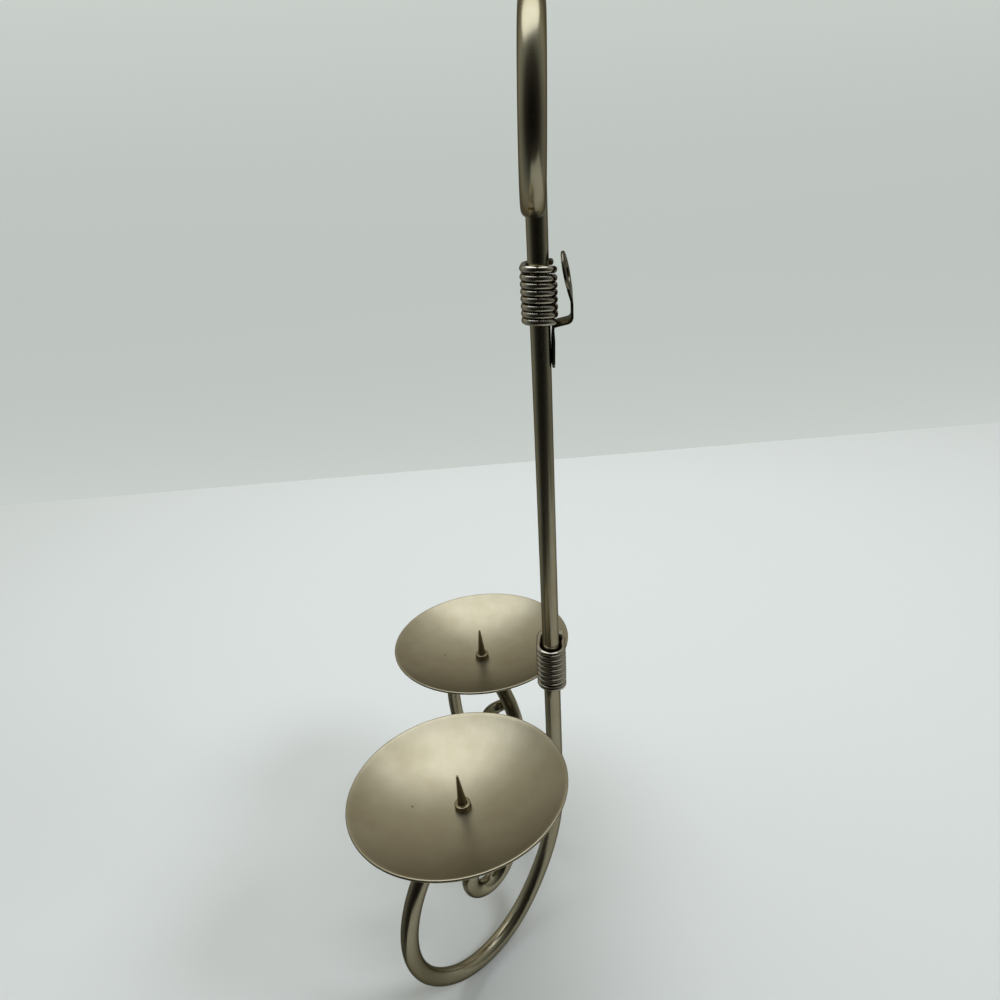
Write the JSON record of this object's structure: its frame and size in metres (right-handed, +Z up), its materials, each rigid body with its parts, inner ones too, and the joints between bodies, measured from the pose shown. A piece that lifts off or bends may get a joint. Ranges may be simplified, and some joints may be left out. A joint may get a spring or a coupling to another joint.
{
  "type": "wall candle sconce",
  "caption": "Bent-rod wall candle holder: a bound stem with scrolled ends, curled arms and shallow pricket dishes, hung by a small eye tab.",
  "frame": {"origin": "on the hanger's flat back, where it meets the wall, in the middle of its width", "axes": "+Z up along the stem, +Y into the wall, +X to the right along the wall for someone who faces it"},
  "size_m": [0.2019, 0.1032, 0.4182],
  "materials": {
    "satin_rod": "satin warm nickel plating",
    "wire": "bright drawn wire, plated like the rods",
    "satin_tab": "satin warm nickel plating",
    "satin_dish": "fine-brushed warm nickel plating",
    "dark_spike": "satin warm nickel plating"
  },
  "bodies": {
    "root": {"rod_right": "satin_rod", "rod_left": "satin_rod", "upper_wire_wrap": "wire", "lower_wire_wrap": "wire", "wall_hanger": "satin_tab", "dish_right": "satin_dish", "dish_left": "satin_dish", "spike_right": "dark_spike", "spike_left": "dark_spike"}
  },
  "joints": []
}
